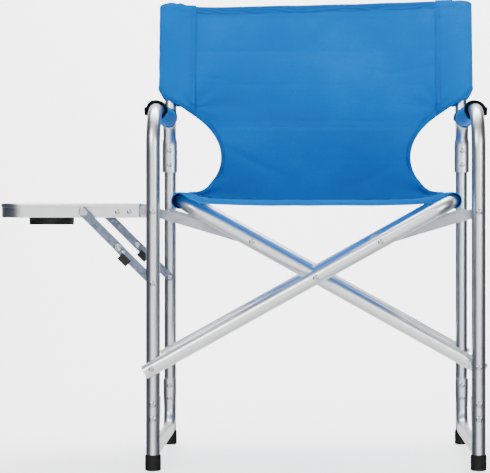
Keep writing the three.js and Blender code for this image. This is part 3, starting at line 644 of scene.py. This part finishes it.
def back_point(x, z):
    if z > 690:
        z = 690 + (z - 690) * (Z_TOP - (TOP_T - top_t(x)) * math.cos(LEAN) - 690) / (Z_TOP - 690)
    elif z < 500:
        # the foot follows the seat's sag
        z -= (500 - z) / 23 * foot_drop(abs(x))
    return V(x, back_surface(x, z), z)


def back_surface(x, z):
    k = min(1, max(0, (z - 640) / 40))
    across = 1 - min(1, abs(x) / 228) ** 2
    y = back_y(z) + across * (2.6 if z > 600 else 1.2)
    # folded for packing: soft level creases, and slack between the posts
    for zc, a, w in ((812, 0.7, 3.0), (748, 0.9, 3.5), (684, 0.8, 3.0), (614, 0.9, 4.0), (540, 0.7, 4.0)):
        zz = zc + 2.2 * nz(x, 0, zc, 90, 3.1)
        y += a * math.exp(-((z - zz) / w) ** 2) * (0.55 + 0.45 * nz(x, zc, 0, 60))
    y += 1.3 * nz(x, 0, z, 95, 1.7) + 0.55 * nz(x, 0, z * 1.6, 34, 4.2)
    # pulled level from the posts at the top of the waist
    y += 0.9 * k * math.sin(z / 11 + 2 * nz(x, 0, z, 70)) * math.exp(-((abs(x) - 235) / 38) ** 2) * math.exp(-((z - 668) / 26) ** 2)
    # folds that fan out from the corners, and one that crosses the waist
    for cx, cz, amp, reach, m in ((236, 474, 2.6, 62, 10), (232, 640, 1.5, 60, 8)):
        dx, dz = cx - abs(x), z - cz
        r = math.hypot(dx, dz)
        ang = math.atan2(dz, dx + 1e-6)
        y += amp * math.exp(-((r - 34) / reach * 1.6) ** 2) * math.sin(m * ang + (0.9 if x < 0 else 0) + 1.5 * nz(x, 0, z, 60))
    for ax, az, bx, bz, amp, wd in ((-178, 566, -60, 508, 2.0, 7.0), (150, 530, 60, 484, 1.4, 7.0), (-226, 700, -150, 690, 0.8, 4.0), (228, 720, 130, 704, 0.9, 4.5)):
        ux, uz = bx - ax, bz - az
        ln = math.hypot(ux, uz)
        al = ((x - ax) * ux + (z - az) * uz) / ln
        of = ((x - ax) * uz - (z - az) * ux) / ln
        y += amp * math.exp(-(of / wd) ** 2) * math.exp(-((al - ln / 2) / (ln * 0.5)) ** 4)
    # hung loose at its foot
    y += (1 - min(1, max(0, (z - 474) / 60))) * 0.8 * math.sin(x / 31)
    return y


for w, z in levels:
    rows.append([back_point(w * (2 * k / NC - 1), z) for k in range(NC + 1)])
    uvs.append([(p.x / 1000, z / 1000) for p in rows[-1]])
back = grid("back_cloth", rows, BLUE, 1.5, uvs)
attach(back, "left_frame")


def strip(pts, dirs, outs, half, thick, seg=8):
    """Flat rounded band along a line. dirs is the way across it, outs the way out of the cloth."""
    verts, faces = [], []
    for p, d, o in zip(pts, dirs, outs):
        for k in range(seg):
            a = 2 * math.pi * k / seg
            verts.append(p + d * (half * math.copysign(abs(math.cos(a)) ** 0.6, math.cos(a))) + o * (thick * math.copysign(abs(math.sin(a)) ** 0.6, math.sin(a))))
    for i in range(len(pts) - 1):
        for k in range(seg):
            faces.append((i * seg + k, i * seg + (k + 1) % seg, (i + 1) * seg + (k + 1) % seg, (i + 1) * seg + k))
    faces.append(tuple(reversed(range(seg))))
    faces.append(tuple(range((len(pts) - 1) * seg, len(pts) * seg)))
    return verts, faces


def gather(parts):
    verts, faces = [], []
    for v, f in parts:
        b = len(verts)
        verts += v
        faces += [tuple(i + b for i in t) for t in f]
    return verts, faces


def binding(pts, inward, half, thick, inset, taper=0):
    """Turned hem along an edge; taper is how many points it takes to grow from nothing."""
    ps, ds, os_ = [], [], []
    for i, p in enumerate(pts):
        t = (pts[min(i + 1, len(pts) - 1)] - pts[max(i - 1, 0)]).normalized()
        d = inward[i].normalized()
        k = min(1, (i + 0.6) / taper) if taper else 1
        ps.append(p + d * (inset * k))
        ds.append(d * k)
        os_.append(t.cross(d).normalized())
    return strip(ps, ds, os_, half, thick)


parts = []
for s in (-1, 1):
    ei = [i for i in range(71) if edge_at(i / 70)[0] <= SEAM or i < 25]
    pts = [back_point(s * edge_at(i / 70)[0], edge_at(i / 70)[1]) for i in ei]
    inward = []
    for i in range(len(pts)):
        t = (pts[min(i + 1, len(pts) - 1)] - pts[max(i - 1, 0)]).normalized()
        d = V(-t.z * s, 0, t.x * s)
        inward.append(d)
    parts.append(binding(pts, inward, 4.6, 1.35, 3.8, taper=14))
foot_line = [back_point(-205 + 410 * i / 60, 478.5) for i in range(61)]
parts.append(binding(foot_line, [V(0, 0, 1)] * 61, 3.2, 1.35, 1.2))
head_line = [back_point(-SEAM + 2 * SEAM * i / 80, Z_TOP) for i in range(81)]
parts.append(binding(head_line, [V(0, -math.sin(LEAN), -math.cos(LEAN))] * 81, 8.0, 1.35, 7.4))
hem = make("back_hems", *gather(parts), BLUE_HEM, sharp=60)
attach(hem, "left_frame")


def stitches(pts, out, pitch=4.2, length=3.1, r=0.38):
    """Short raised stitches along a line."""
    parts = []
    acc = [0.0]
    for a, b in zip(pts, pts[1:]):
        acc.append(acc[-1] + (b - a).length)
    def at(s):
        i = 0
        while i < len(acc) - 2 and acc[i + 1] < s:
            i += 1
        return pts[i].lerp(pts[i + 1], (s - acc[i]) / max(acc[i + 1] - acc[i], 1e-6)), out[i]
    s = 1.0
    while s + length < acc[-1]:
        a, o = at(s)
        b, _ = at(s + length)
        d = (b - a).normalized()
        side = d.cross(o).normalized()
        ps = [a - o * 0.3, a + o * (r * 0.7) + d * 0.4, b + o * (r * 0.7) - d * 0.4, b - o * 0.3]
        v, f = [], []
        for p in ps:
            for k in range(5):
                c = 2 * math.pi * k / 5
                v.append(p + side * (r * math.cos(c)) + o * (r * math.sin(c)))
        for i in range(3):
            for k in range(5):
                f.append((i * 5 + k, i * 5 + (k + 1) % 5, (i + 1) * 5 + (k + 1) % 5, (i + 1) * 5 + k))
        parts.append((v, f))
        s += pitch
    return parts


OUT = V(0, -math.cos(LEAN), math.sin(LEAN))
T_LOW = (646 - 574.1) / math.cos(LEAN)
pocket_basis = (V(0, math.cos(LEAN), -math.sin(LEAN)), lean)
O0 = V(0, YR, 572)
NP = 52


def pocket_ring(s, f0):
    """Cross-section of a pocket, f0 of the way up it: front layer, round the post, back layer."""
    t = T_LOW + (TOP_T - T_LOW) * f0
    seam, outer, x0 = SEAM, 299.6, LX
    pts = []
    for k in range(NP + 1):
        u = k / NP
        if u < 0.40:
            f = u / 0.40
            x = seam + (x0 + 3 - seam) * f
            bulge = math.exp(-((x - x0) / 17) ** 2)
            n = -12.9 - 0.9 * bulge + 0.5 * math.sin(math.pi * f) * (1 - f)
        elif u < 0.62:
            a = math.pi * (u - 0.40) / 0.22
            x = x0 + 3 + (outer - x0 - 3) * math.sin(a)
            n = -13.2 * math.cos(a) + 0.0
        else:
            f = (u - 0.62) / 0.38
            x = (x0 + 3) + (seam + 1 - x0 - 3) * f
            g = min(1, max(0, (f - 0.22) / 0.78))
            g = g * g * (3 - 2 * g)
            n = 12.6 - (12.6 + 10.6) * g
        pts.append((x, n))
    rip = 0.8 * nz(0, 0, t, 42, 9 + s) + 0.5 * nz(0, 0, t, 17, 5 + s)
    e1 = math.exp(-((t - T_LOW) / 7) ** 2)
    out = []
    for i, (x, n) in enumerate(pts):
        w = math.exp(-((x - 292) / 14) ** 2)
        loose = 1.1 * nz(x, n * 2, t, 40, 2 + s) * (1 if x < 262 or x > 292 else 0.25)
        lo = max(edge_t(x), T_LOW) if i >= NP * 0.40 else edge_t(x)
        tt = lo + (top_t(s * x) - lo) * f0
        p = O0 + V(s * (x + rip * w * 0.8), 0, 0) + pocket_basis[0] * (n + loose * 0.6 - 0.4 * e1 * math.copysign(1, -n)) + pocket_basis[1] * tt
        if i < NP * 0.40:
            k = min(1, max(0, (x - 231) / 30))
            k = k * k * (3 - 2 * k)
            z = p.z
            q = back_surface(s * x, z)
            p = p.lerp(V(s * x, q, z), 1 - k)
        out.append(p)
    return out


pockets, pocket_with = [], {}
for side, s in (("left", -1), ("right", 1)):
    rows, uvs = [], []
    ts = [i / 64 for i in range(65)]
    for t in ts:
        ring = pocket_ring(s, t)
        rows.append(ring)
        acc, u = 0, [(0, ring[0].z / 1000)]
        for a, b in zip(ring, ring[1:]):
            acc += (b - a).length
            u.append((acc / 1000, b.z / 1000))
        uvs.append(u)
    # the top closes down over the end of the post
    for f, dt in ((0.80, 1.6), (0.45, 2.6), (0.1, 3.0)):
        ring = pocket_ring(s, 1.0)
        mid = [(p - O0).dot(pocket_basis[0]) for p in ring]
        rows.append([p + pocket_basis[1] * dt - pocket_basis[0] * (mid[i] * (1 - f) if abs(p.x) > 262 else 0) for i, p in enumerate(ring)])
        uvs.append([(u[0], u[1] + 0.0015) for u in uvs[-1]])
    if s < 0:
        rows = [r[::-1] for r in rows]
        uvs = [u[::-1] for u in uvs]
    o = grid(f"{side}_post_pocket", rows, BLUE, 1.5, uvs)
    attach(o, f"{side}_frame")
    width = sum((b - a).length for a, b in zip(rows[30], rows[30][1:])) / 1000
    pockets.append((o, width, (TOP_T - T_LOW + 4) / 1000))
    # double row of stitches down the seam, and one along the bottom
    sp = []
    for xs in (231.5, 237.5):
        line_ = []
        for t in ts:
            ring = pocket_ring(s, t)
            i = min(range(int(NP * 0.4)), key=lambda k: abs(abs(ring[k].x) - xs))
            p = ring[i].copy()
            p.x = s * xs
            line_.append(p + OUT * 0.85)
        sp += stitches(line_, [OUT] * len(line_))
    for ff in (0.028, 0.955):
        ring = pocket_ring(s, ff)[1: int(NP * 0.4)]
        sp += stitches([p + OUT * 0.85 for p in ring], [OUT] * len(ring))
    low = pocket_ring(s, 0.0)[: int(NP * 0.62)]
    ups = []
    for i, p in enumerate(low):
        tg = (low[min(i + 1, len(low) - 1)] - low[max(i - 1, 0)]).normalized()
        d = lean - tg * lean.dot(tg)
        ups.append(d.normalized())
    pb = make(f"{side}_pocket_hem", *binding(low, ups, 4.6, 1.35, 3.8), BLUE_HEM, sharp=60)
    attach(pb, f"{side}_frame")
    pocket_with[side] = [pb]
    st = make(f"{side}_pocket_stitches", *gather(sp), THREAD)
    pocket_with[side].append(st)
    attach(st, f"{side}_frame")

sp = []
for s in (-1, 1):
    for off in (5.6,):
        line_ = []
        for i in range(6, 71):
            x, z = edge_at(i / 70)
            if x > SEAM - 3:
                continue
            x2, z2 = edge_at(min(1, (i + 1) / 70))
            x1, z1 = edge_at(max(0, (i - 1) / 70))
            tx, tz = x2 - x1, z2 - z1
            L_ = math.hypot(tx, tz)
            nx, nz_ = -tz / L_, tx / L_
            line_.append(back_point(s * (x + nx * off), z + nz_ * off) + V(0, -1.9, 0))
        sp += stitches(line_, [V(0, -1, 0)] * len(line_))
for z, off in ((Z_TOP - 13, 0.9), (Z_TOP - 3.5, 1.9)):
    line_ = [back_point(-227 + 454 * i / 80, z) + OUT * off for i in range(81)]
    sp += stitches(line_, [OUT] * 81)
st = make("back_stitches", *gather(sp), THREAD)
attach(st, "left_frame")
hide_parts("back_panel")

for o in (back, hem, st):
    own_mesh(o)

# seat: one cloth over both rails, turned under and sewn beneath
R_WRAP = 13.6
HALF = [(SEAT_X, 472.4), (222, 471.9), (209, 468.6), (197, 464.6), (180, 461.9), (130, 460.0), (70, 458.9), (0, 458.4)]
UNDER = [(-x, z) for x, z in HALF] + [(x, z) for x, z in HALF[-2::-1]]
sect = []          # (x, z, turn) where turn is 0 on the top and 1 fully under
for p in ((-203, 468.6), (-207.5, 466.8), (-212, 463.9), (-215.8, 460.6), (-218.6, 457.2)):
    sect.append((p[0], p[1], 1.0))
for k in range(0, 19):
    a = math.radians(-18 - 252 * k / 18)      # from the inner side, beneath and round the outside, to the top
    turn = min(1, max(0, 1 - max(0, k - 1) / 17))
    sect.append((-SEAT_X + R_WRAP * math.cos(a), SEAT_Z + R_WRAP * math.sin(a), turn))
for k in range(1, 66):
    x, z = catmull(UNDER, k / 130)
    sect.append((x, z + 0.2, 0))
sect = sect + [(-x, z, t) for x, z, t in sect[-2::-1]]
acc = [0]
for a, b in zip(sect, sect[1:]):
    acc.append(acc[-1] + math.hypot(b[0] - a[0], b[1] - a[1]))
Y0, Y1 = YF - 8, YR - 3
rows, uvs = [], []
NY = 90
for j in range(-4, NY + 1):
    row, uv = [], []
    for i, (x, z, turn) in enumerate(sect):
        f = max(j, 0) / NY
        left = x < 0
        ys, ye = (BF + 43, BR - 43) if left else (AF + 43, AR - 43)
        near = BF if left else AF
        if turn < 0.72:
            ya = Y0 + (max(near + 4, Y0) - Y0) * min(1, turn / 0.3)
        else:
            q = (turn - 0.72) / 0.28
            ya = max(near + 4, Y0) + (ys - max(near + 4, Y0)) * q * q * (3 - 2 * q)
        yb = Y1 + (ye - Y1) * turn ** 1.5
        y = ya + (yb - ya) * f
        zz = z
        if turn == 0:
            k = 1 - min(1, abs(x) / 215) ** 2
            zz += -2.2 * k * math.sin(math.pi * min(1, max(0, f))) + k * 1.3 * nz(x, y, 0, 85, 6.3) + k * 0.5 * nz(x, y, 0, 30, 2.9)
        if j < 0:
            # the front edge turns down in a hem
            g = -j / 4 * (1 - turn)
            a = g * math.pi / 2
            drop = 9.5 * g if g > 0.3 else 9.5 * g * g / 0.3
            y -= 2.2 * math.sin(min(a * 1.3, math.pi / 2)) * (1 - turn)
            zz -= drop * (1 if abs(x) < 214 else max(0.12, 1 - (abs(x) - 214) / 20))
        row.append(V(x, y, zz))
        uv.append((acc[i] / 1000, (y - (9 * -min(j, 0) / 4)) / 1000))
    rows.append(row)
    uvs.append(uv)
seat = grid("seat_cloth", rows, BLUE, 1.5, uvs)
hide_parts("seat_sling")
# stitches where the cloth is sewn to itself beside each rail, and along the front hem
sp = []
for xs in (-211, -206, 206, 211):
    zt = min(((abs(abs(x) - abs(xs)), z) for x, z, t in sect if t == 0))[1]
    ln = [V(xs, y, zt + 1.15) for y in range(-140, 128, 8)]
    sp += stitches(ln, [V(0, 0, 1)] * len(ln))
seat_st = make("seat_stitches", *gather(sp), THREAD)
hem_sp = []
ln = []
for i, (x, z, turn) in enumerate(sect):
    if turn == 0 and abs(x) < 205:
        r0 = rows[2][i]
        ln.append(V(r0.x, r0.y - 1.0, r0.z - 1.2))
hem_sp += stitches(ln, [V(0, -1, 0)] * len(ln))
hem_o = make("seat_hem_stitches", *gather(hem_sp), THREAD)
for o in (seat, seat_st, hem_o):
    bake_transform(o)


# arm covers: foam under cloth, sewn along the underside, with black ends
pads = []
for side, s in (("left", -1), ("right", 1)):
    x, y0, y1 = s * LX, YF + 72, YR - 60
    rows, uvs = [], []
    N, S = 56, 40
    verts, faces, uv = [], [], []
    def radius(f, a):
        edge = min(f, 1 - f) * (y1 - y0)
        r = 17.4 - 2.6 * math.exp(-edge / 5.0)
        r += 0.7 * nz(math.cos(a) * 20, f * 260, math.sin(a) * 20, 30, 3 + s) + 0.35 * nz(math.cos(a) * 20, f * 260, math.sin(a) * 20, 11, 8 + s)
        r -= 1.6 * math.exp(-((a + math.pi / 2) / 0.16) ** 2)
        r += 0.5 * math.exp(-((a - math.pi / 2) / 0.8) ** 2)
        return r
    prof = [(12.5, 0.4)] + [(None, f) for f in [0, 0.006, 0.02, 0.04] + [0.04 + 0.92 * k / N for k in range(1, N)] + [0.96, 0.98, 0.994, 1]] + [(12.5, 0.6)]
    for i, (rr, f) in enumerate(prof):
        for k in range(S):
            a = -math.pi + 2 * math.pi * k / S
            if rr is None:
                r, yy = radius(f, a), y0 + (y1 - y0) * f
            else:
                r, yy = 12.6, (y0 + 4 if i == 0 else y1 - 4)
            if f == 0 and rr is None or (f == 1 and rr is None):
                r -= 1.6
            verts.append(V(x + r * math.cos(a), yy, 616 + r * math.sin(a)))
            uv.append((a * 0.0175, yy / 1000))
    n = len(prof)
    for i in range(n - 1):
        for k in range(S):
            faces.append((i * S + k, (i + 1) * S + k, (i + 1) * S + (k + 1) % S, i * S + (k + 1) % S))
    for k in range(S):
        faces.append((k, (k + 1) % S, (n - 1) * S + (k + 1) % S, (n - 1) * S + k))
    o = make(f"{side}_arm_cover", verts, faces, BLUE_PAD, sharp=80, uv=uv)
    o.data.materials.append(BLACK_WEB)
    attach(o, f"{side}_frame")
    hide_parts(f"{side}_arm_pad")
    pads.append(o)
    parts = []
    for yy in (y0 + 1.8, y1 - 1.8):
        ring_v, ring_f = [], []
        for k in range(48):
            a = 2 * math.pi * k / 48
            c = V(math.cos(a), 0, math.sin(a))
            for q in range(10):
                b = 2 * math.pi * q / 10
                rr = 15.9 + 3.0 * math.cos(b) + 0.8 * math.sin(3 * a + yy) - (1.2 if c.z < -0.3 else 0)
                ring_v.append(V(x, yy, 616) + c * rr + V(0, 4.2 * math.sin(b), 0))
        for k in range(48):
            for q in range(10):
                ring_f.append((k * 10 + q, k * 10 + (q + 1) % 10, ((k + 1) % 48) * 10 + (q + 1) % 10, ((k + 1) % 48) * 10 + q))
        parts.append((ring_v, ring_f))
    # the closing flap, laid along the outer side and a little lifted at its ends
    ps, ds, os_ = [], [], []
    for k in range(61):
        f = k / 60
        yy = y0 - 1 + (y1 - y0 + 2) * f
        lift = 2.2 * math.exp(-min(f, 1 - f) * 30) + 0.5 * nz(0, yy, 0, 24, s)
        a = math.pi + (0.05 + 0.03 * nz(0, yy, 0, 40, 2 * s)) if s < 0 else -0.05
        c = V(math.cos(a), 0, math.sin(a))
        ps.append(V(x, yy, 616) + c * (18.3 + lift))
        ds.append(V(-math.sin(a), 0, math.cos(a)))
        os_.append(c)
    parts.append(strip(ps, ds, os_, 7.5, 0.9, seg=10))
    e = make(f"{side}_arm_cover_edging", *gather(parts), BLACK_WEB)
    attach(e, f"{side}_frame")

# ---------------------------------------------------------------------- stage
m, t, b, link = nodes_of("pale_floor")
b.inputs["Base Color"].default_value = (0.96, 0.96, 0.96, 1)
b.inputs["Roughness"].default_value = 0.6
b.inputs["Emission Color"].default_value = (1, 1, 1, 1)
b.inputs["Emission Strength"].default_value = 1.6
# seen only from the chair's side
geo = t.nodes.new("ShaderNodeNewGeometry")
clear = t.nodes.new("ShaderNodeBsdfTransparent")
both = t.nodes.new("ShaderNodeMixShader")
out = next(n for n in t.nodes if n.type == "OUTPUT_MATERIAL")
link(geo.outputs["Backfacing"], both.inputs[0])
link(b.outputs[0], both.inputs[1])
link(clear.outputs[0], both.inputs[2])
link(both.outputs[0], out.inputs["Surface"])
fv = []
ff = []
W, NB = 3200, 24
prof = [(-3400, 0), (1800, 0)] + [(1800 + 1200 * math.sin(math.pi / 2 * k / NB), 1200 - 1200 * math.cos(math.pi / 2 * k / NB)) for k in range(1, NB + 1)] + [(3000, 6000)]
for y, z in prof:
    half = W if y < 1900 else 2600
    fv += [V(-half, y, z - 0.3), V(half, y, z - 0.3)]
for i in range(len(prof) - 1):
    ff.append((2 * i, 2 * i + 1, 2 * i + 3, 2 * i + 2))
floor = make("floor", fv, ff, m)
floor.visible_glossy = False

world = bpy.data.worlds.new("studio")
bpy.context.scene.world = world
world.use_nodes = True
wt = world.node_tree
bg = wt.nodes["Background"]
wc = wt.nodes.new("ShaderNodeTexCoord")
wx = wt.nodes.new("ShaderNodeSeparateXYZ")
wa = wt.nodes.new("ShaderNodeMath")
wa.operation = "ABSOLUTE"
wr = wt.nodes.new("ShaderNodeValToRGB")
wr.color_ramp.elements[0].position, wr.color_ramp.elements[0].color = 0.30, (1, 1, 1, 1)
wr.color_ramp.elements[1].position, wr.color_ramp.elements[1].color = 0.66, (0.030, 0.038, 0.052, 1)
wt.links.new(wc.outputs["Generated"], wx.inputs[0])
wt.links.new(wx.outputs["X"], wa.inputs[0])
wt.links.new(wa.outputs[0], wr.inputs["Fac"])
wl = wt.nodes.new("ShaderNodeLightPath")
wm = wt.nodes.new("ShaderNodeMixRGB")
wm.inputs["Color2"].default_value = (1, 1, 1, 1)
wt.links.new(wl.outputs["Is Camera Ray"], wm.inputs["Fac"])
wu = wt.nodes.new("ShaderNodeMapRange")
for _k, _v in (("From Min", 0.15), ("From Max", 0.8), ("To Min", 1.0), ("To Max", 0.35)):
    wu.inputs[_k].default_value = _v
wq = wt.nodes.new("ShaderNodeVectorMath")
wq.operation = "SCALE"
wt.links.new(wx.outputs["Z"], wu.inputs["Value"])
wt.links.new(wr.outputs["Color"], wq.inputs[0])
wt.links.new(wu.outputs["Result"], wq.inputs["Scale"])
wt.links.new(wq.outputs["Vector"], wm.inputs["Color1"])
wt.links.new(wm.outputs["Color"], bg.inputs["Color"])
bg.inputs["Strength"].default_value = 2.0


def area_light(name, at, look, size, power, size_y=None, colour=(1, 1, 1)):
    l = bpy.data.lights.new(name, "AREA")
    l.energy, l.size, l.color = power, size, colour
    if size_y:
        l.shape, l.size_y = "RECTANGLE", size_y
    o = bpy.data.objects.new(name, l)
    bpy.context.scene.collection.objects.link(o)
    o.location = at
    o.rotation_euler = (Vector(look) - Vector(at)).to_track_quat("-Z", "Y").to_euler()
    return o


area_light("key", (-1.5, -2.6, 2.2), (0.1, 0, 0.5), 1.4, 60)
area_light("fill", (1.9, -2.6, 1.2), (0.1, 0, 0.5), 1.4, 40)
area_light("top", (0.1, 0.2, 3.0), (0.1, 0, 0.4), 2.0, 26)
area_light("backdrop", (0.1, 0.9, 2.6), (0.1, 2.6, 0.9), 2.4, 170)

cam = bpy.data.cameras.new("camera")
co = bpy.data.objects.new("camera", cam)
bpy.context.scene.collection.objects.link(co)
co.location = P((0, YF - 3257, 425.7))
co.rotation_euler = (math.pi / 2, 0, 0)
cam.sensor_width, cam.lens = 36, 36 * 1915.9 / 490
cam.shift_x, cam.shift_y = -70.8 / 490, -16.5 / 490
cam.clip_end = 50
bpy.context.scene.camera = co
